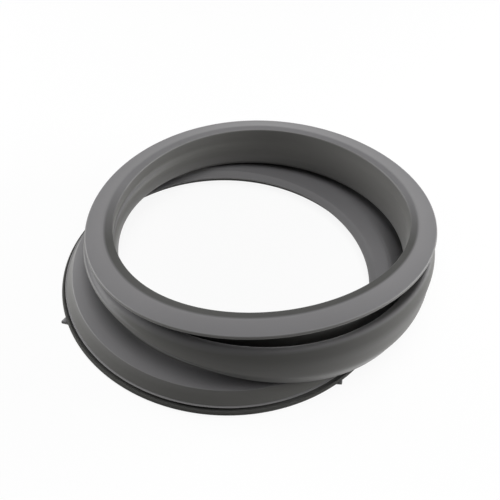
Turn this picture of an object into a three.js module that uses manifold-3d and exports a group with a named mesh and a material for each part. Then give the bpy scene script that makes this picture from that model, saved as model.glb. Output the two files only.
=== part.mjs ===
// Door seal of a front loading washing machine: one moulded rubber bellows.
// It lies on its tub collar, with the door lip on top, in millimetres and +Z up.
// The origin is on the floor, in the middle of the box round the seal.
import * as THREE from 'three';
import Module from 'manifold-3d';

// Tub collar, the ring that clamps onto the tub
const RIM_RADIUS = 171;
const RIM_BEAD_HEIGHT = 4.8;
const RIM_BEAD_WIDTH = 3.6;
const CLAMP_GROOVE_RADIUS = 161.5;
const CLAMP_GROOVE_TOP = 5.6;
const SHOULDER_RADIUS = 166.6;
const SHOULDER_EDGE_HEIGHT = 7.4;
const RIDGE_RADIUS = 157;
const RIDGE_HEIGHT = 17;
const TUB_SLOT_RADIUS = 155.4;
const TUB_SLOT_WIDTH = 3.8;
const TUB_SLOT_DEPTH = 8;
const BORE_RADIUS = 148.4;
const BORE_EDGE_HEIGHT = 10.8;
const BORE_LIP_DEPTH = 3.6;
const BORE_ROUND = 1.2;
const EDGE_ROUND = 1.2;

// Locating nibs on the rim
const NIB_ANGLES = [203.5, 311];
const NIB_WIDTH = 11;
const NIB_REACH = 5;
const NIB_THICKNESS = 3;

// Door lip and the neck under it
const LIP_RADIUS = 177.3;
const LIP_THICKNESS = 6.4;
const LIP_NOSE = 3.6;
const LIP_FACE_DROP = 3.8;
const CREST_RADIUS = 158.5;
const CREST_HEIGHT = 77.8;
const NECK_TOP_RADIUS = 150.6;
const NECK_EDGE_DROP = 1.4;
const NECK_FOOT_RADIUS = 147.2;
const NECK_FOOT_HEIGHT = 37;
const NECK_WALL = 4;
const SLOT_ROOT = 2.4;

// Bellows wall. It thins over its first stretches, and rounds keep a least share of
// their radius between their ends and their corner.
const BELLOWS_WALL = 3;
const THINNING_STRETCHES = 4;
const FOOT_TURN = 4.5;
const LEG_LEAN = 2;
const LEG_END_DROP = 7;
const BELLY_RADIUS = 177;
const BELLY_TOP = 57;
const BELLY_ROUND = 8;
const BELLY_BULGE = 2.5;
const BELLY_BULGE_SHARE = 0.15;
const HEM_HEIGHT = 22;
const CREASE_RADIUS = 153.5;
const CREASE_HEIGHT = 22;
const CREASE_ROUND = 3;
const LEAST_ROUND_SHARE = 0.7;

// Steps round the ring, and points on each stretch of the bellows wall
const RING_STEPS = 72;
const POINTS_A_STRETCH = 2;

// How the soft ring lies. Each level of the section is moved off its moulded place:
// shift is in mm, tilt in mm of rise for each mm to the right and to the back, and
// saddle is the rise in mm of the sides and of the diagonals.
const LAY = [
  { name: 'collar', shift: [0, 0], tilt: [0, 0], saddle: [0, 0] },
  { name: 'ridge', shift: [-1, 0], tilt: [-0.02, -0.02], saddle: [0, 0] },
  { name: 'crease', shift: [17, 14], tilt: [-0.04, -0.042], saddle: [1.5, -2.2] },
  { name: 'hem', shift: [27.7, 18.8], tilt: [-0.093, -0.066], saddle: [0, 7.8] },
  { name: 'bellyTop', shift: [36, 20], tilt: [0.045, -0.08], saddle: [-2, 0.8] },
  { name: 'foot', shift: [34.5, 18.3], tilt: [0, -0.077], saddle: [0.2, -1.9] },
  { name: 'lip', shift: [31, 23], tilt: [0.073, -0.109], saddle: [-3.9, -3.6] },
];
const LEVEL = Object.fromEntries(LAY.map(({ name }, index) => [name, index]));

// A station of the moulded section: radius, height and the level of the lay that it follows
function station(radius, height, level) {
  return { radius, height, level };
}

// Mix of the two levels that a station lies between
function layAt(level) {
  const index = Math.min(Math.floor(level), LAY.length - 2);
  const below = LAY[index];
  const above = LAY[index + 1];
  const mix = (key) => below[key].map((value, axis) => (
    THREE.MathUtils.lerp(value, above[key][axis], level - index)
  ));
  return { shift: mix('shift'), tilt: mix('tilt'), saddle: mix('saddle') };
}

// Place of a station on the lying seal, at one angle round the ring
function laid({ radius, height, level }, angle) {
  const { shift, tilt, saddle } = layAt(level);
  const across = radius * Math.cos(angle);
  const back = radius * Math.sin(angle);
  const rise = tilt[0] * across + tilt[1] * back;
  const sag = saddle[0] * Math.cos(2 * angle) + saddle[1] * Math.sin(2 * angle);
  return new THREE.Vector3(across + shift[0], back + shift[1], height + rise + sag);
}

// Three points of an arc that rounds off a corner of the wall in the plane of the section
function roundedCorner(before, corner, after, radius, angle) {
  const ringward = new THREE.Vector3(-Math.sin(angle), Math.cos(angle), 0);
  const toBefore = before.clone().sub(corner).projectOnPlane(ringward).normalize();
  const toAfter = after.clone().sub(corner).projectOnPlane(ringward).normalize();
  const inward = toBefore.clone().add(toAfter).normalize();
  const across = toBefore.clone().sub(toAfter).normalize();
  const sharpness = toBefore.dot(inward);
  const depth = radius * (1 - Math.sqrt(1 - sharpness * sharpness));
  const spread = radius * Math.max(sharpness, LEAST_ROUND_SHARE);
  const entry = corner.clone().addScaledVector(inward, depth).addScaledVector(across, spread);
  const exit = corner.clone().addScaledVector(inward, depth).addScaledVector(across, -spread);
  return [entry, corner, exit];
}

// Middle line of the bellows wall at one angle, from the foot of the neck to the collar ridge
function wallMiddle(angle) {
  const place = (radius, height, level) => laid(station(radius, height, level), angle);
  const neckMiddle = NECK_FOOT_RADIUS + NECK_WALL / 2;
  const legRadius = neckMiddle + 2 * FOOT_TURN;
  const turned = FOOT_TURN * Math.SQRT1_2;
  const legShare = LEG_END_DROP / (BELLY_TOP - NECK_FOOT_HEIGHT);
  const belly = (inset, share) => place(
    BELLY_RADIUS - inset,
    THREE.MathUtils.lerp(BELLY_TOP, HEM_HEIGHT, share),
    THREE.MathUtils.lerp(LEVEL.bellyTop, LEVEL.hem, share),
  );
  const hem = belly(BELLY_ROUND, 1);
  const crease = place(CREASE_RADIUS, CREASE_HEIGHT, LEVEL.crease);
  const ridge = place(RIDGE_RADIUS, RIDGE_HEIGHT, LEVEL.ridge);
  const curve = new THREE.CatmullRomCurve3([
    place(neckMiddle, NECK_FOOT_HEIGHT, LEVEL.foot),
    place(neckMiddle + FOOT_TURN - turned, NECK_FOOT_HEIGHT - turned, LEVEL.foot),
    place(neckMiddle + FOOT_TURN, NECK_FOOT_HEIGHT - FOOT_TURN, LEVEL.foot),
    place(legRadius, NECK_FOOT_HEIGHT, LEVEL.foot),
    place(legRadius + LEG_LEAN, BELLY_TOP - LEG_END_DROP, LEVEL.bellyTop + legShare),
    belly(BELLY_ROUND, 0),
    belly(BELLY_BULGE, BELLY_BULGE_SHARE),
    belly(0, 1 / 2),
    belly(BELLY_BULGE, 1 - BELLY_BULGE_SHARE),
    hem,
    ...roundedCorner(hem, crease, ridge, CREASE_ROUND, angle),
    ridge,
  ], false, 'centripetal');
  return curve.getPoints(POINTS_A_STRETCH * (curve.points.length - 1));
}

// Both faces of the bellows wall at every step round the ring, half a wall off the middle line
function wallFaces() {
  const grid = [];
  for (let step = 0; step < RING_STEPS; step += 1) {
    const angle = (2 * Math.PI * step) / RING_STEPS;
    grid.push(wallMiddle(angle));
  }
  return grid.map((row, step) => {
    const before = grid[(step + RING_STEPS - 1) % RING_STEPS];
    const after = grid[(step + 1) % RING_STEPS];
    const slotSide = [];
    const roomSide = [];
    row.forEach((point, index) => {
      const last = row[Math.max(index - 1, 0)];
      const next = row[Math.min(index + 1, row.length - 1)];
      const ringward = after[index].clone().sub(before[index]);
      const normal = next.clone().sub(last).cross(ringward).normalize();
      const thinning = Math.min(index / (THINNING_STRETCHES * POINTS_A_STRETCH), 1);
      const half = THREE.MathUtils.lerp(NECK_WALL, BELLOWS_WALL, thinning) / 2;
      slotSide.push(point.clone().addScaledVector(normal, half));
      roomSide.push(point.clone().addScaledVector(normal, -half));
    });
    return { slotSide, roomSide };
  });
}

// Collar outline, from the shoulder down the outside, under the tub slot and up to the bore
function collarOutline() {
  const slotOuter = TUB_SLOT_RADIUS + TUB_SLOT_WIDTH / 2;
  const slotInner = TUB_SLOT_RADIUS - TUB_SLOT_WIDTH / 2;
  const beadNeck = RIM_BEAD_HEIGHT - EDGE_ROUND;
  return [
    station(SHOULDER_RADIUS, SHOULDER_EDGE_HEIGHT, LEVEL.collar),
    station(SHOULDER_RADIUS - EDGE_ROUND, CLAMP_GROOVE_TOP, LEVEL.collar),
    station(CLAMP_GROOVE_RADIUS, CLAMP_GROOVE_TOP, LEVEL.collar),
    station(CLAMP_GROOVE_RADIUS, beadNeck - EDGE_ROUND / 2, LEVEL.collar),
    station(RIM_RADIUS - RIM_BEAD_WIDTH, beadNeck, LEVEL.collar),
    station(RIM_RADIUS - RIM_BEAD_WIDTH / 2, RIM_BEAD_HEIGHT, LEVEL.collar),
    station(RIM_RADIUS, RIM_BEAD_HEIGHT / 2, LEVEL.collar),
    station(RIM_RADIUS - EDGE_ROUND, 0, LEVEL.collar),
    station(slotOuter, 0, LEVEL.collar),
    station(slotOuter, TUB_SLOT_DEPTH, LEVEL.collar),
    station(slotInner, TUB_SLOT_DEPTH, LEVEL.collar),
    station(slotInner, BORE_EDGE_HEIGHT - BORE_LIP_DEPTH, LEVEL.collar),
    station(BORE_RADIUS + BORE_ROUND, BORE_EDGE_HEIGHT - BORE_ROUND, LEVEL.collar),
    station(BORE_RADIUS, BORE_EDGE_HEIGHT, LEVEL.collar),
    station(BORE_RADIUS + BORE_ROUND, BORE_EDGE_HEIGHT + BORE_ROUND, LEVEL.collar),
  ];
}

// Lip outline, from the foot of the neck up its inner wall, over the lip and back down the slot
function lipOutline() {
  const neckTop = CREST_HEIGHT - NECK_EDGE_DROP;
  const middleHeight = (neckTop + NECK_FOOT_HEIGHT) / 2;
  const middleRadius = (NECK_TOP_RADIUS + NECK_FOOT_RADIUS) / 2;
  const middleLevel = (LEVEL.foot + LEVEL.lip) / 2;
  const slotRadius = NECK_TOP_RADIUS + NECK_WALL;
  const faceEnd = CREST_HEIGHT - LIP_FACE_DROP;
  const under = faceEnd - LIP_THICKNESS;
  return [
    station(middleRadius, middleHeight, middleLevel),
    station(NECK_TOP_RADIUS, neckTop - EDGE_ROUND / 2, LEVEL.lip),
    station(NECK_TOP_RADIUS + EDGE_ROUND / 2, neckTop, LEVEL.lip),
    station(CREST_RADIUS, CREST_HEIGHT, LEVEL.lip),
    station(LIP_RADIUS - LIP_NOSE, faceEnd, LEVEL.lip),
    station(LIP_RADIUS - EDGE_ROUND, faceEnd - EDGE_ROUND, LEVEL.lip),
    station(LIP_RADIUS, faceEnd - LIP_THICKNESS / 2, LEVEL.lip),
    station(LIP_RADIUS - EDGE_ROUND, under + EDGE_ROUND / 2, LEVEL.lip),
    station(LIP_RADIUS - LIP_NOSE, under, LEVEL.lip),
    station(slotRadius + SLOT_ROOT, under, LEVEL.lip),
    station(slotRadius, under - SLOT_ROOT, LEVEL.lip),
    station(middleRadius + NECK_WALL, middleHeight, middleLevel),
  ];
}

// Closed mesh of the whole outline carried round the ring
function ringGeometry() {
  const collar = collarOutline();
  const lip = lipOutline();
  const outlines = wallFaces().map(({ slotSide, roomSide }, step) => {
    const angle = (2 * Math.PI * step) / RING_STEPS;
    return [
      ...collar.map((point) => laid(point, angle)),
      ...roomSide.toReversed(),
      ...lip.map((point) => laid(point, angle)),
      ...slotSide,
    ];
  });
  const count = outlines[0].length;
  const indices = [];
  for (let step = 0; step < RING_STEPS; step += 1) {
    const here = step * count;
    const there = ((step + 1) % RING_STEPS) * count;
    for (let index = 0; index < count; index += 1) {
      const next = (index + 1) % count;
      indices.push(here + index, there + next, there + index);
      indices.push(here + index, here + next, there + next);
    }
  }
  const geometry = new THREE.BufferGeometry().setFromPoints(outlines.flat());
  geometry.setIndex(indices);
  return geometry;
}

// Wedge shaped nib that points out of the rim at one angle in degrees
function nibGeometry(degrees) {
  const angle = THREE.MathUtils.degToRad(degrees);
  const root = RIM_RADIUS - RIM_BEAD_WIDTH;
  const reach = RIM_RADIUS + NIB_REACH;
  const corners = [[root, -NIB_WIDTH / 2], [reach, 0], [root, NIB_WIDTH / 2]];
  const points = [0, NIB_THICKNESS].flatMap((height) => corners.map(([out, side]) => (
    new THREE.Vector3(out, side, height).applyAxisAngle(new THREE.Vector3(0, 0, 1), angle)
  )));
  const geometry = new THREE.BufferGeometry().setFromPoints(points);
  geometry.setIndex([0, 2, 1, 3, 4, 5, 0, 1, 4, 0, 4, 3, 1, 2, 5, 1, 5, 4, 2, 0, 3, 2, 3, 5]);
  return geometry;
}

// The ring and its nibs joined into one body, with the origin in the middle of its box
function sealGeometry(wasm) {
  const solid = (geometry) => new wasm.Manifold(new wasm.Mesh({
    numProp: 3,
    vertProperties: new Float32Array(geometry.attributes.position.array),
    triVerts: new Uint32Array(geometry.index.array),
  }));
  const nibs = NIB_ANGLES.map((degrees) => solid(nibGeometry(degrees)));
  const joined = nibs.reduce((body, nib) => body.add(nib), solid(ringGeometry()));
  const { vertProperties, triVerts } = joined.getMesh();
  const geometry = new THREE.BufferGeometry();
  geometry.setAttribute('position', new THREE.BufferAttribute(vertProperties, 3));
  geometry.setIndex(new THREE.BufferAttribute(triVerts, 1));
  geometry.computeBoundingBox();
  const middle = geometry.boundingBox.getCenter(new THREE.Vector3());
  geometry.translate(-middle.x, -middle.y, 0);
  geometry.computeVertexNormals();
  return geometry;
}

const wasm = await Module();
wasm.setup();

const rubber = new THREE.MeshStandardMaterial({ color: 0x7b7a7c, roughness: 0.62, metalness: 0 });
const seal = new THREE.Mesh(sealGeometry(wasm), rubber);
seal.name = 'door_seal';

const part = new THREE.Group();
part.add(seal);
export default part;
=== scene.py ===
import math

import bpy
import numpy as np
from mathutils import Matrix, Vector


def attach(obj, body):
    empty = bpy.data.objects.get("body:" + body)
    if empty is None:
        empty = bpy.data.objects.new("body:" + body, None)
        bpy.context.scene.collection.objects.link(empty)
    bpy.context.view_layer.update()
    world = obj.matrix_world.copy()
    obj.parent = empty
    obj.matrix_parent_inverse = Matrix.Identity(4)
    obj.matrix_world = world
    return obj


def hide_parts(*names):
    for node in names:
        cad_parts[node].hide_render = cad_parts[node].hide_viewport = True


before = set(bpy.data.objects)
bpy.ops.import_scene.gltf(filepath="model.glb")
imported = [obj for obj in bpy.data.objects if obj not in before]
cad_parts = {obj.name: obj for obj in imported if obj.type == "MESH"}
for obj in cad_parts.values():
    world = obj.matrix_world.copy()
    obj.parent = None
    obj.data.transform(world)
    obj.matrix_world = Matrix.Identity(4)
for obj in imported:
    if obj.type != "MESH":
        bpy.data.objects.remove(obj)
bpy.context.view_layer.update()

# The section is in millimetres and degrees
MM = 0.001
# Middle of the seal's box, seen from the middle of the tub collar
MIDDLE = np.array([20.175, 14.65, 0.0])

# Tub collar, the ring that clamps onto the tub
RIM_RADIUS = 171.0
RIM_BEAD_HEIGHT = 4.8
RIM_BEAD_WIDTH = 3.6
CLAMP_GROOVE_RADIUS = 161.5
CLAMP_GROOVE_TOP = 5.6
SHOULDER_RADIUS = 166.6
SHOULDER_EDGE_HEIGHT = 7.4
SHOULDER_LAND_START = (-1.6, 0.6)
SHOULDER_LAND_END = (0.3, 0.4)
RIDGE_RADIUS = 157.0
RIDGE_HEIGHT = 17.0
TUB_SLOT_RADIUS = 155.4
TUB_SLOT_WIDTH = 3.8
TUB_SLOT_DEPTH = 8.0
BORE_RADIUS = 148.4
BORE_EDGE_HEIGHT = 10.8
BORE_LIP_DEPTH = 3.6
BORE_ROUND = 1.2
EDGE_ROUND = 1.2

# Nibs on the rim, each with its angle and its reach
NIBS = ((203.5, 5.0), (312.3, 2.4))
NIB_WIDTH = 11.0
NIB_THICKNESS = 3.0
NIB_ROOT_DEPTH = 2.4
NIB_POINT = (0.6, 0.8)
NIB_TOP_ROUND = 0.5
NIB_TOP_SCALE = 0.997

# Door lip and the neck under it
LIP_RADIUS = 177.3
LIP_THICKNESS = 6.4
LIP_FACE_DROP = 3.8
LIP_NOSE_BACK = 1.0
LIP_NOSE_SHARE = 0.4
LIP_UNDER_BACK = 2.4
LIP_UNDER_RISE = 0.6
LIP_ROOT = 1.6
CREST_RADIUS = 158.5
CREST_HEIGHT = 77.8
NECK_TOP_RADIUS = 150.6
NECK_EDGE_DROP = 1.4
NECK_EDGE_REACH = 0.8
NECK_FOOT_RADIUS = 147.2
NECK_FOOT_HEIGHT = 37.0
NECK_WALL = 4.0

# Bellows wall. The belly's stations are its inset and its share of the way down to the hem
BELLOWS_WALL = 3.0
THINNING_STRETCHES = 4
FOOT_TURN = 4.5
LEG_LEAN = 2.0
LEG_END_DROP = 7.0
BELLY_RADIUS = 177.0
BELLY_TOP = 57.0
BELLY = ((8.0, 0.0), (2.5, 0.15), (0.9, 0.45), (0.1, 0.6), (0.6, 0.68), (4.0, 0.85), (8.0, 1.0))
HEM_HEIGHT = 22.0
CREASE_RADIUS = 153.5
CREASE_HEIGHT = 22.0
CREASE_ROUND = 3.0
LEAST_ROUND_SHARE = 0.7

# How fine the mesh is
RING_STEPS = 280
POINTS_A_STRETCH = 6
ARC_POINTS = 4
LONGEST_FILLET_SHARE = 0.48
LONG_STRAIGHT = 2.0
SUPPORT = 0.4
TINY = 1e-12
LEAST_GAP = 1e-4
# Shares of the way at which rows join two parts of the section
SHOULDER_ROWS = (0.03, 0.5, 0.97)
BORE_ROWS = (0.05, 0.5, 0.97)
RIDGE_ROWS = (0.8, 1.0)

# How the soft ring lies: shift, tilt and saddle of each level of the section
COLLAR, RIDGE, CREASE, HEM, TOP, FOOT, LIP, EDGE = range(8)
LAY = np.array([
    [0.0, 0.0, 0.0, 0.0, 0.0, 0.0],
    [-1.0, 0.0, -0.02, -0.02, 0.0, 0.0],
    [17.0, 14.0, -0.04, -0.042, 1.5, -2.2],
    [27.7, 18.8, -0.093, -0.066, 0.0, 7.8],
    [36.0, 20.0, 0.045, -0.08, -2.0, 0.8],
    [34.5, 18.3, 0.0, -0.077, 0.2, -1.9],
    [31.0, 23.0, 0.073, -0.109, -3.9, -3.6],
    [32.2, 24.8, 0.073, -0.109, -3.9, -3.6],
])

# Marks on the rubber: edges made pale by rubbing and by a painted highlight, bands of painted shade,
# and the deep shade of the photograph
EDGE_MARK_REACH = 0.9
EDGE_MARK_LEAST = math.radians(8)
EDGE_MARK_SPAN = math.radians(45)
EDGE_MARK_OVERLAP = 8
# The crest line is a painted highlight
CREST_HIGHLIGHT = 0.4
CREST_HIGHLIGHT_BACK = 1.0
CREST_HIGHLIGHT_REACH = 3.0
STRIP_FADE = 2.5
STRIP_DEPTH = 5.0
CLAMP_MARGIN = (0.5, 0.2)
WEB_DARKNESS = 0.8
UNDER_LIP_DARKNESS = 0.42

# Side of the ring that a mark lies on: degrees, then the cosines where it starts and is full
STRIP_SIDE = (268, -0.3, 0.3)
FOLD_SIDE = (225, 0.5, 0.75)
WEB_SIDE = (203, 0.6, 0.9)
UNDER_LIP_SIDE = (285, 0.4, 0.7)

# Where shade starts and is full, in stations of the wall counted from the ridge
LOW_BELLY_FADE = (7.0, 5.5)
FOLD_FADE = (2.8, 3.6)
WEB_FADE = (0.3, 0.9)
UNDER_LIP_FADE = (7.6, 9.0)

# The rubber and its marks
TINTS = ((0.150, 0.148, 0.152, 1.0), (0.176, 0.173, 0.178, 1.0))
# Steep walls: a greener tint and painted shade
WALL_TINT_AND_SHADE = (0.62, 0.62, 0.572, 1.0)
# Pale edges: lighter from rubbing and from a painted highlight
EDGE_COLOUR = (0.27, 0.265, 0.265, 1.0)
EDGE_SHARE = 0.5
# Painted shade on the clamp groove, the bead and the near inner strip of the lip
BAND_SHADE_COLOUR = (0.055, 0.055, 0.051, 1.0)
BAND_SHADE_SHARE = 0.9
SHADE_COLOUR = (0.025, 0.025, 0.024, 1.0)
SHADE_SHARE = 0.85
GLOSS = 0.22
SHEEN = 0.2
SHEEN_ROUGHNESS = 0.4
CLEAN_ROUGHNESS = (0.44, 0.52)
DULL_ROUGHNESS = 0.6
# Upward part of the surface normal of a flat face and of a steep wall
FLAT_NORMAL = 0.92
STEEP_NORMAL = 0.6
CLOUD = {"Scale": 14.0, "Detail": 5.0, "Roughness": 0.6}
GRAIN = {"Scale": 900.0, "Detail": 3.0}
GRAIN_RELIEF = {"Strength": 0.06, "Distance": 0.0004}

# Floor and world
FLOOR_HALF = 20.0
FLOOR_DEPTH = 0.0002
FLOOR_GLOW = 0.9
FLOOR_GREY = (0.55, 0.55, 0.55, 1.0)
FLOOR_WHITE = (1.0, 1.0, 1.0, 1.0)
SKY_LIGHT = 0.08
SKY_SEEN = 1.0

# Lamps: name, place, size and power, all aimed at one point of the seal
LAMPS = (
    ("top", (0.0, 0.5, 1.48), (1.1, 1.1), 3),
    ("front", (0.2, -0.3, 1.48), (1.1, 1.1), 12),
    ("left", (-1.4, 0.4, 0.3), (0.9, 0.4), 19),
    ("right", (1.4, 0.2, 0.3), (0.9, 0.4), 24),
)
LAMP_AIM = (0, 0, 0.04)

# Camera of the photograph
CAMERA_TILT = math.radians(45.7)
CAMERA_ROLL = math.radians(2.8)
CAMERA_DISTANCE = 905.3
CAMERA_AIM = (22.99, 9.23, 36.21)
CAMERA_LENS = 63.14
CAMERA_SENSOR = 36.0
CAMERA_CLIP = 0.05


def laid(stations, angles):
    """Places of stations (radius, height, level) on the lying seal at every angle."""
    stations = np.asarray(stations, float)
    radius, height, level = stations.T
    below = np.minimum(np.floor(level).astype(int), len(LAY) - 2)
    share = (level - below)[:, None]
    lay = LAY[below] * (1 - share) + LAY[below + 1] * share
    cos, sin = np.cos(angles)[:, None], np.sin(angles)[:, None]
    across, back = radius * cos, radius * sin
    rise = lay[:, 2] * across + lay[:, 3] * back
    sag = lay[:, 4] * np.cos(2 * angles)[:, None] + lay[:, 5] * np.sin(2 * angles)[:, None]
    return np.stack([across + lay[:, 0], back + lay[:, 1], height + rise + sag], -1)


def unit(v):
    """Vectors of length one."""
    return v / np.maximum(np.linalg.norm(v, axis=-1, keepdims=True), TINY)


def rounded_corner(before, corner, after, radius, angles):
    """Three points of an arc that rounds off a corner of the wall in the plane of the section."""
    ringward = np.stack([-np.sin(angles), np.cos(angles), np.zeros_like(angles)], -1)

    def flat(v):
        return unit(v - ringward * np.sum(v * ringward, -1, keepdims=True))

    to_before, to_after = flat(before - corner), flat(after - corner)
    inward, across = unit(to_before + to_after), unit(to_before - to_after)
    sharpness = np.sum(to_before * inward, -1, keepdims=True)
    depth = radius * (1 - np.sqrt(np.maximum(1 - sharpness ** 2, 0)))
    spread = radius * np.maximum(sharpness, LEAST_ROUND_SHARE)
    inner = corner + inward * depth
    return inner + across * spread, corner, inner - across * spread


def centripetal(points, per_stretch):
    """Centripetal Catmull-Rom curve through points, an array of rows of points."""
    first = 2 * points[:, :1] - points[:, 1:2]
    last = 2 * points[:, -1:] - points[:, -2:-1]
    p = np.concatenate([first, points, last], 1)
    lengths = np.linalg.norm(np.diff(p, axis=1), axis=-1, keepdims=True)
    gap = np.maximum(np.sqrt(lengths), LEAST_GAP)
    x0, x1, x2, x3 = p[:, :-3], p[:, 1:-2], p[:, 2:-1], p[:, 3:]
    d0, d1, d2 = gap[:, :-2], gap[:, 1:-1], gap[:, 2:]
    t1 = ((x1 - x0) / d0 - (x2 - x0) / (d0 + d1) + (x2 - x1) / d1) * d1
    t2 = ((x2 - x1) / d1 - (x3 - x1) / (d1 + d2) + (x3 - x2) / d2) * d1
    square, cube = 3 * (x2 - x1) - 2 * t1 - t2, 2 * (x1 - x2) + t1 + t2
    steps = [k / per_stretch for k in range(per_stretch)]
    curve = np.stack([x1 + t1 * t + square * t ** 2 + cube * t ** 3 for t in steps], 2)
    return np.concatenate([curve.reshape(len(points), -1, 3), points[:, -1:]], 1)


def wall_faces(angles):
    """Both faces of the bellows wall, half a wall off its middle line."""
    def at(radius, height, level):
        return laid([(radius, height, level)], angles)[:, 0]

    def belly(inset, share):
        height = BELLY_TOP + (HEM_HEIGHT - BELLY_TOP) * share
        return at(BELLY_RADIUS - inset, height, TOP + (HEM - TOP) * share)

    neck = NECK_FOOT_RADIUS + NECK_WALL / 2
    leg = neck + 2 * FOOT_TURN
    turned = FOOT_TURN * math.sqrt(0.5)
    leg_share = LEG_END_DROP / (BELLY_TOP - NECK_FOOT_HEIGHT)
    belly_line = [belly(*station) for station in BELLY]
    crease = at(CREASE_RADIUS, CREASE_HEIGHT, CREASE)
    ridge = at(RIDGE_RADIUS, RIDGE_HEIGHT, RIDGE)
    middle = centripetal(np.stack([
        at(neck, NECK_FOOT_HEIGHT, FOOT),
        at(neck + FOOT_TURN - turned, NECK_FOOT_HEIGHT - turned, FOOT),
        at(neck + FOOT_TURN, NECK_FOOT_HEIGHT - FOOT_TURN, FOOT),
        at(leg, NECK_FOOT_HEIGHT, FOOT),
        at(leg + LEG_LEAN, BELLY_TOP - LEG_END_DROP, TOP + leg_share),
        *belly_line,
        *rounded_corner(belly_line[-1], crease, ridge, CREASE_ROUND, angles),
        ridge,
    ], 1), POINTS_A_STRETCH)
    along = np.empty_like(middle)
    along[:, 1:-1] = middle[:, 2:] - middle[:, :-2]
    along[:, 0] = middle[:, 1] - middle[:, 0]
    along[:, -1] = middle[:, -1] - middle[:, -2]
    ring = np.roll(middle, -1, 0) - np.roll(middle, 1, 0)
    normal = unit(np.cross(along, ring))
    run = np.arange(middle.shape[1]) / (THINNING_STRETCHES * POINTS_A_STRETCH)
    thinning = np.minimum(run, 1)[None, :, None]
    half = (NECK_WALL * (1 - thinning) + BELLOWS_WALL * thinning) / 2
    return middle + normal * half, middle - normal * half


def supported(outline):
    """The outline with a point close to each end of every long straight, which keeps flats flat."""
    out = [outline[0]]
    for before, after in zip(outline, outline[1:]):
        length = np.linalg.norm((after - before)[:2])
        if length > LONG_STRAIGHT:
            shares = (SUPPORT / length, 1 - SUPPORT / length)
            out += [before + (after - before) * share for share in shares]
        out.append(after)
    return out


def bridge(start, end, shares):
    """Rows of points between two rows of the mesh."""
    return np.stack([start + (end - start) * share for share in shares], 1)


def filleted(corners, ends):
    """Outline from corners (radius, height, level, round), each turned into a small arc.

    The ends are what lies before the first corner and after the last one.
    """
    points = [ends[0], *corners, ends[1]]
    out = []
    for k, (*place, rounding) in enumerate(corners, 1):
        here = np.array(place, float)
        to_before = np.array(points[k - 1][:3], float) - here
        to_after = np.array(points[k + 1][:3], float) - here
        a = min(rounding / np.linalg.norm(to_before[:2]), LONGEST_FILLET_SHARE)
        b = min(rounding / np.linalg.norm(to_after[:2]), LONGEST_FILLET_SHARE)
        start, end = here + to_before * a, here + to_after * b
        for step in range(ARC_POINTS + 1):
            t = step / ARC_POINTS
            out.append(start * (1 - t) ** 2 + here * 2 * t * (1 - t) + end * t ** 2)
    return supported(out)


def collar_outline():
    """Outline of the tub collar, from the shoulder round the rim and the slot to the bore."""
    slot_outer = TUB_SLOT_RADIUS + TUB_SLOT_WIDTH / 2
    slot_inner = TUB_SLOT_RADIUS - TUB_SLOT_WIDTH / 2
    bead_neck = RIM_BEAD_HEIGHT - EDGE_ROUND
    land = [
        (SHOULDER_RADIUS + out, SHOULDER_EDGE_HEIGHT + up)
        for out, up in (SHOULDER_LAND_START, SHOULDER_LAND_END)
    ]
    return filleted([
        (*land[0], COLLAR, 0.4),
        (*land[1], COLLAR, 0.5),
        (SHOULDER_RADIUS - EDGE_ROUND, CLAMP_GROOVE_TOP, COLLAR, 0.5),
        (CLAMP_GROOVE_RADIUS, CLAMP_GROOVE_TOP, COLLAR, 0.8),
        (CLAMP_GROOVE_RADIUS, bead_neck - EDGE_ROUND / 2, COLLAR, 0.8),
        (RIM_RADIUS - RIM_BEAD_WIDTH, bead_neck, COLLAR, 0.8),
        (RIM_RADIUS - RIM_BEAD_WIDTH / 2, RIM_BEAD_HEIGHT, COLLAR, 0.9),
        (RIM_RADIUS, RIM_BEAD_HEIGHT / 2, COLLAR, 1.1),
        (RIM_RADIUS - EDGE_ROUND, 0.0, COLLAR, 0.8),
        (slot_outer, 0.0, COLLAR, 0.5),
        (slot_outer, TUB_SLOT_DEPTH, COLLAR, 0.6),
        (slot_inner, TUB_SLOT_DEPTH, COLLAR, 0.6),
        (slot_inner, BORE_EDGE_HEIGHT - BORE_LIP_DEPTH, COLLAR, 0.4),
        (BORE_RADIUS + BORE_ROUND, BORE_EDGE_HEIGHT - BORE_ROUND, COLLAR, 0.6),
        (BORE_RADIUS, BORE_EDGE_HEIGHT, COLLAR, 0.7),
        (BORE_RADIUS + BORE_ROUND, BORE_EDGE_HEIGHT + BORE_ROUND, COLLAR, 0.8),
    ], [(RIDGE_RADIUS + 1, RIDGE_HEIGHT + 1, RIDGE), (RIDGE_RADIUS - 1, RIDGE_HEIGHT - 1, RIDGE)])


def lip_outline():
    """Outline of the door lip, from the inner face of the neck over the crest to its outer face."""
    neck_top = CREST_HEIGHT - NECK_EDGE_DROP
    middle_height = (neck_top + NECK_FOOT_HEIGHT) / 2
    middle_radius = (NECK_TOP_RADIUS + NECK_FOOT_RADIUS) / 2
    middle_level = (FOOT + LIP) / 2
    slot = NECK_TOP_RADIUS + NECK_WALL
    face_end = CREST_HEIGHT - LIP_FACE_DROP
    under = face_end - LIP_THICKNESS + LIP_UNDER_RISE
    foot = (NECK_FOOT_RADIUS, NECK_FOOT_HEIGHT, FOOT)
    outer_foot = (NECK_FOOT_RADIUS + NECK_WALL, NECK_FOOT_HEIGHT, FOOT)
    return filleted([
        (middle_radius, middle_height, middle_level, 10.0),
        (NECK_TOP_RADIUS - NECK_EDGE_REACH, neck_top, EDGE, 1.2),
        (CREST_RADIUS, CREST_HEIGHT, LIP, 2.2),
        (LIP_RADIUS - LIP_NOSE_BACK, face_end, LIP, 0.9),
        (LIP_RADIUS, face_end - LIP_THICKNESS * LIP_NOSE_SHARE, LIP, 1.6),
        (LIP_RADIUS - LIP_UNDER_BACK, under, LIP, 2.2),
        (slot + LIP_ROOT, under, LIP, 2.4),
        (middle_radius + NECK_WALL, middle_height, middle_level, 8.0),
    ], [foot, outer_foot])


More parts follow.
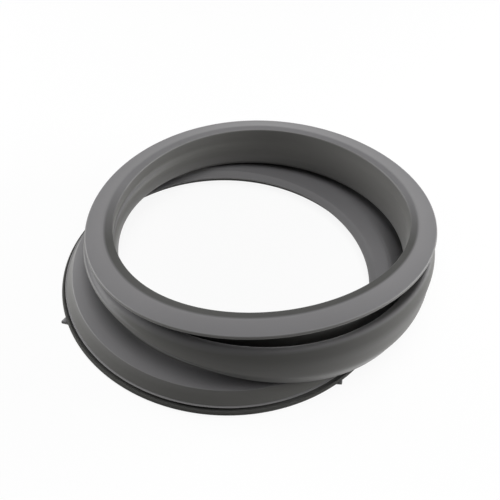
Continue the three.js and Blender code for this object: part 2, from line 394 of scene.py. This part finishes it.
def nib(degrees, reach):
    """Corners and faces of a wedge shaped nib on the rim."""
    angle = math.radians(degrees)
    root, tip = RIM_RADIUS - NIB_ROOT_DEPTH, RIM_RADIUS + reach
    back, side = NIB_POINT
    half = NIB_WIDTH / 2
    flat = [(root, -half), (tip - back, -side), (tip, 0.0), (tip - back, side), (root, half)]
    count = len(flat)
    turn = np.array([[math.cos(angle), math.sin(angle)], [-math.sin(angle), math.cos(angle)]])
    ring = np.array(flat) @ turn
    layers = [(0.0, 1.0), (NIB_THICKNESS - NIB_TOP_ROUND, 1.0), (NIB_THICKNESS, NIB_TOP_SCALE)]
    points = np.concatenate([
        np.column_stack([ring * scale, np.full(count, height)]) for height, scale in layers
    ])
    faces = [tuple(reversed(range(count))), tuple(range(2 * count, 3 * count))]
    for base in (0, count):
        for k in range(count):
            after = (k + 1) % count
            faces.append((base + k, base + after, base + count + after, base + count + k))
    return points, faces


def fade(value, start, end):
    """From 0 at start to 1 at end."""
    return np.clip((value - start) / (end - start), 0, 1)


def towards(angles, degrees, start, end):
    """From 0 to 1 round the ring, by the cosine of the angle to a side of the seal."""
    return fade(np.cos(angles - math.radians(degrees)), start, end)[:, None]


def edge_wear_and_highlight(rows, columns):
    """How sharply the section turns outwards at each point, where the rubber is lighter from rubbing
    and from a painted highlight.
    """
    closed = np.concatenate([rows[:, -EDGE_MARK_OVERLAP:], rows, rows[:, :EDGE_MARK_OVERLAP]], 1)
    lengths = np.linalg.norm(np.diff(closed, axis=1), axis=-1)
    run = np.concatenate([np.zeros((len(rows), 1)), np.cumsum(lengths, 1)], 1)
    ring = unit(np.roll(closed, -1, 0) - np.roll(closed, 1, 0))
    paleness = np.zeros(closed.shape[:2])
    for step, (line, at) in enumerate(zip(closed, run)):
        earlier, later = [
            np.stack([np.interp(at + reach, at, line[:, axis]) for axis in range(3)], -1)
            for reach in (-EDGE_MARK_REACH, EDGE_MARK_REACH)
        ]
        turn = np.sum(np.cross(unit(line - earlier), unit(later - line)) * ring[step], -1)
        bend = np.arcsin(np.clip(turn, -1, 1))
        paleness[step] = np.clip((bend - EDGE_MARK_LEAST) / EDGE_MARK_SPAN, 0, 1)
    paleness = paleness[:, EDGE_MARK_OVERLAP:-EDGE_MARK_OVERLAP]
    # The clamp covers the groove and the bead, and the crest gets a painted highlight
    covered = np.array([height < CLAMP_GROOVE_TOP for _, height, _ in collar_outline()])
    paleness[:, columns["collar"]] *= ~covered
    crest = np.array([
        CREST_HIGHLIGHT * (CREST_RADIUS - CREST_HIGHLIGHT_BACK < radius < CREST_RADIUS + CREST_HIGHLIGHT_REACH)
        for radius, _, _ in lip_outline()
    ])
    paleness[:, columns["lip"]] = np.maximum(paleness[:, columns["lip"]], crest)
    return paleness


def painted_band_shade(rows, angles, columns):
    """Painted shade on the clamp groove, the bead and the near inner strip of the lip."""
    groove, top = CLAMP_GROOVE_RADIUS - CLAMP_MARGIN[0], CLAMP_GROOVE_TOP + CLAMP_MARGIN[1]
    strip = np.array([
        fade(CREST_RADIUS - radius, 0, STRIP_FADE) * (height > CREST_HEIGHT - STRIP_DEPTH)
        for radius, height, _ in lip_outline()
    ])
    band = np.zeros(rows.shape[:2])
    band[:, columns["collar"]] = np.array([
        radius > groove and height < top for radius, height, _ in collar_outline()
    ])
    band[:, columns["lip"]] = towards(angles, *STRIP_SIDE) * strip
    return band


def deep_shade(rows, angles, columns):
    """Dark rubber where the photograph is in deep shade: fold, left web and under the near lip.

    The lamps alone leave these places too bright, so the shade stays on the seal in every view.
    """
    outer = columns["outer wall"]
    count = outer.stop - outer.start
    station = (count - np.arange(count)) / POINTS_A_STRETCH
    low_belly = fade(station, *LOW_BELLY_FADE)
    fold = fade(station, *FOLD_FADE) * low_belly
    web = WEB_DARKNESS * fade(station, *WEB_FADE) * low_belly
    under_lip = UNDER_LIP_DARKNESS * fade(station, *UNDER_LIP_FADE)
    near = towards(angles, *UNDER_LIP_SIDE)
    dark = np.zeros(rows.shape[:2])
    dark[:, outer] = np.maximum(towards(angles, *FOLD_SIDE) * fold, towards(angles, *WEB_SIDE) * web)
    dark[:, outer] += near * under_lip
    return dark


def section_parts(angles):
    """The whole closed section at every angle, in parts."""
    outer, inner = wall_faces(angles)
    collar = laid(collar_outline(), angles)
    return {
        "shoulder": bridge(outer[:, -1], collar[:, 0], SHOULDER_ROWS),
        "collar": collar,
        "bore": bridge(collar[:, -1], inner[:, -1], BORE_ROWS),
        "inner wall": inner[:, ::-1],
        "lip": laid(lip_outline(), angles),
        "outer wall": outer[:, :-1],
        "ridge": bridge(outer[:, -2], outer[:, -1], RIDGE_ROWS),
    }


def ring_faces(count):
    """Faces between neighbouring sections of count points, round the ring."""
    faces = []
    for step in range(RING_STEPS):
        here, there = step * count, (step + 1) % RING_STEPS * count
        for k in range(count):
            after = (k + 1) % count
            faces.append((here + k, here + after, there + after, there + k))
    return faces


def seal_mesh():
    """The seal with its nibs, and the marks on its rubber as values of its points."""
    angles = np.arange(RING_STEPS) * 2 * math.pi / RING_STEPS
    parts = section_parts(angles)
    rows = np.concatenate(list(parts.values()), 1)
    columns, first = {}, 0
    for name, part in parts.items():
        columns[name] = slice(first, first + part.shape[1])
        first += part.shape[1]
    points, faces = rows.reshape(-1, 3), ring_faces(rows.shape[1])
    for degrees, reach in NIBS:
        nib_points, nib_faces = nib(degrees, reach)
        base = len(points)
        points = np.concatenate([points, nib_points])
        faces += [tuple(base + k for k in face) for face in nib_faces]
    mesh = bpy.data.meshes.new("seal")
    mesh.from_pydata(((points - MIDDLE) * MM).tolist(), [], faces)
    mesh.shade_smooth()
    for name, values in (
        ("edge", edge_wear_and_highlight(rows, columns)),
        ("band_shade", painted_band_shade(rows, angles, columns)),
        ("shade", deep_shade(rows, angles, columns)),
    ):
        marks = mesh.attributes.new(name, "FLOAT", "POINT")
        nib_marks = np.zeros(len(points) - values.size)
        marks.data.foreach_set("value", np.concatenate([values.ravel(), nib_marks]))
    return mesh


def placed(name, data):
    """A new object in the scene."""
    thing = bpy.data.objects.new(name, data)
    bpy.context.collection.objects.link(thing)
    return thing


def node(tree, kind, place, inputs=(), **settings):
    """A node with its settings, and with inputs that are values or sockets to link from."""
    made = tree.nodes.new(kind)
    made.location = place
    for key, value in settings.items():
        setattr(made, key, value)
    for key, value in dict(inputs).items():
        if isinstance(value, bpy.types.NodeSocket):
            tree.links.new(value, made.inputs[key])
        else:
            made.inputs[key].default_value = value
    return made


def math_node(tree, place, operation, *values, **settings):
    """The result of a Math node."""
    inputs = dict(enumerate(values))
    return node(tree, "ShaderNodeMath", place, inputs, operation=operation, **settings).outputs[0]


def mixed(tree, place, share, below, above, blend="MIX"):
    """A colour laid over another by a share."""
    inputs = {"Factor": share, "A": below, "B": above}
    mix = node(tree, "ShaderNodeMix", place, inputs, data_type="RGBA", blend_type=blend)
    return mix.outputs["Result"]


def mark(tree, place, name, most):
    """A mark that the mesh carries, as a share of at most the given amount."""
    read = node(tree, "ShaderNodeAttribute", place, attribute_name=name)
    beside = (place[0] + 180, place[1])
    return math_node(tree, beside, "MULTIPLY", read.outputs["Fac"], most)


def rubber_material():
    """Moulded grey rubber with a cloudy tint, a fine grain and the marks that the mesh carries."""
    material = bpy.data.materials.new("rubber")
    material.use_nodes = True
    tree = material.node_tree
    shader = tree.nodes["Principled BSDF"]
    shader.inputs["Metallic"].default_value = 0.0
    shader.inputs["Specular IOR Level"].default_value = GLOSS
    shader.inputs["Sheen Weight"].default_value = SHEEN
    shader.inputs["Sheen Roughness"].default_value = SHEEN_ROUGHNESS
    place = node(tree, "ShaderNodeTexCoord", (-1000, 0)).outputs["Object"]
    cloud = node(tree, "ShaderNodeTexNoise", (-800, 100), {"Vector": place, **CLOUD}).outputs["Fac"]
    tint = mixed(tree, (-500, 100), cloud, *TINTS)
    # Steep walls are darker, as painted shade, and a little greener than faces that look up
    normal = node(tree, "ShaderNodeNewGeometry", (-1000, 500)).outputs["Normal"]
    split = node(tree, "ShaderNodeSeparateXYZ", (-800, 500), {0: normal})
    limits = {"Value": split.outputs["Z"], "From Min": FLAT_NORMAL, "From Max": STEEP_NORMAL}
    steep = node(tree, "ShaderNodeMapRange", (-620, 500), limits).outputs["Result"]
    colour = mixed(tree, (-300, 300), steep, tint, WALL_TINT_AND_SHADE, "MULTIPLY")
    # Pale edges from rubbing and painted highlight, then painted shade on bands and in the deep
    # places
    wear_and_highlight = mark(tree, (-620, 750), "edge", EDGE_SHARE)
    band_shaded = mark(tree, (-620, 950), "band_shade", BAND_SHADE_SHARE)
    shaded = mark(tree, (-620, 1150), "shade", SHADE_SHARE)
    colour = mixed(tree, (-120, 300), wear_and_highlight, colour, EDGE_COLOUR)
    colour = mixed(tree, (60, 300), band_shaded, colour, BAND_SHADE_COLOUR)
    colour = mixed(tree, (240, 300), shaded, colour, SHADE_COLOUR)
    tree.links.new(colour, shader.inputs["Base Color"])
    # Rubber under painted shade is dull, and the rest varies a little
    dull = math_node(tree, (60, 900), "MAXIMUM", shaded, band_shaded)
    limits = dict(zip(("To Min", "To Max"), CLEAN_ROUGHNESS), Value=cloud)
    clean = node(tree, "ShaderNodeMapRange", (60, 650), limits).outputs["Result"]
    rough = math_node(tree, (240, 800), "MULTIPLY_ADD", dull, DULL_ROUGHNESS, clean, use_clamp=True)
    tree.links.new(rough, shader.inputs["Roughness"])
    grain = node(tree, "ShaderNodeTexNoise", (-800, -250), {"Vector": place, **GRAIN}).outputs["Fac"]
    bump = node(tree, "ShaderNodeBump", (-300, -250), {"Height": grain, **GRAIN_RELIEF})
    tree.links.new(bump.outputs["Normal"], shader.inputs["Normal"])
    return material


def backdrop_share(tree, most):
    """A share for rays that come from the camera or from gloss, which see the white backdrop."""
    path = node(tree, "ShaderNodeLightPath", (-700, 300))
    share = path.outputs["Is Camera Ray"]
    for k, ray in enumerate(("Is Glossy Ray", "Is Transmission Ray")):
        share = math_node(tree, (-500 + 160 * k, 300), "MAXIMUM", share, path.outputs[ray])
    return math_node(tree, (-100, 300), "MULTIPLY", share, most)


def floor_material():
    """Pale floor that glows white for the camera and keeps the seal's shadow."""
    material = bpy.data.materials.new("floor")
    material.use_nodes = True
    tree = material.node_tree
    shader = tree.nodes["Principled BSDF"]
    shader.inputs["Roughness"].default_value = 0.9
    shader.inputs["Specular IOR Level"].default_value = 0.0
    seen = node(tree, "ShaderNodeLightPath", (-900, -100)).outputs["Is Camera Ray"]
    paper = mixed(tree, (-400, -50), seen, FLOOR_GREY, FLOOR_WHITE)
    tree.links.new(paper, shader.inputs["Base Color"])
    light = {"Color": (1, 1, 1, 1), "Strength": 1.0}
    glow = node(tree, "ShaderNodeEmission", (0, -250), light)
    layers = {0: backdrop_share(tree, FLOOR_GLOW), 1: shader.outputs[0], 2: glow.outputs[0]}
    blend = node(tree, "ShaderNodeMixShader", (300, 0), layers)
    tree.links.new(blend.outputs[0], tree.nodes["Material Output"].inputs["Surface"])
    return material


def white_world():
    """World that is white for the camera and gives a soft grey light."""
    world = bpy.data.worlds.new("world")
    bpy.context.scene.world = world
    world.use_nodes = True
    tree = world.node_tree
    tree.nodes.clear()
    lit, seen = [
        node(tree, "ShaderNodeBackground", place, {"Color": (1, 1, 1, 1), "Strength": strength})
        for place, strength in (((0, 0), SKY_LIGHT), ((0, -150), SKY_SEEN))
    ]
    layers = {0: backdrop_share(tree, 1.0), 1: lit.outputs[0], 2: seen.outputs[0]}
    blend = node(tree, "ShaderNodeMixShader", (200, 0), layers)
    node(tree, "ShaderNodeOutputWorld", (400, 0), {"Surface": blend.outputs[0]})


def area_light(name, place, size, energy):
    """A soft rectangular lamp that points at the seal."""
    data = bpy.data.lights.new(name, "AREA")
    data.shape = "RECTANGLE"
    data.size, data.size_y = size
    data.energy = energy
    light = placed(name, data)
    light.location = place
    aim = Vector(LAMP_AIM) - Vector(place)
    light.rotation_euler = aim.to_track_quat("-Z", "Y").to_euler()


def photo_camera():
    """The camera of the photograph, worked out from the seal's circles."""
    target = Vector(np.array(CAMERA_AIM) - MIDDLE) * MM
    forward = Vector((0, math.cos(CAMERA_TILT), -math.sin(CAMERA_TILT)))
    right = Vector((1, 0, 0))
    up = right.cross(forward)
    across = right * math.cos(CAMERA_ROLL) + up * math.sin(CAMERA_ROLL)
    upward = up * math.cos(CAMERA_ROLL) - right * math.sin(CAMERA_ROLL)
    data = bpy.data.cameras.new("camera")
    data.sensor_width = CAMERA_SENSOR
    data.lens = CAMERA_LENS
    data.clip_start = CAMERA_CLIP
    camera = placed("camera", data)
    turn = Matrix((across, upward, -forward)).transposed().to_4x4()
    camera.matrix_world = Matrix.Translation(target - forward * (CAMERA_DISTANCE * MM)) @ turn
    return camera


seal = placed("seal", seal_mesh())
seal.data.materials.append(rubber_material())
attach(seal, "root")
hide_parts("door_seal")

corners = [(x * FLOOR_HALF, y * FLOOR_HALF, 0) for x, y in ((-1, -1), (1, -1), (1, 1), (-1, 1))]
floor_mesh = bpy.data.meshes.new("floor")
floor_mesh.from_pydata(corners, [], [(0, 1, 2, 3)])
floor_mesh.materials.append(floor_material())
floor = placed("floor", floor_mesh)
floor.location.z = -FLOOR_DEPTH

white_world()
for lamp in LAMPS:
    area_light(*lamp)
bpy.context.scene.camera = photo_camera()
bpy.context.scene.view_settings.view_transform = "Standard"
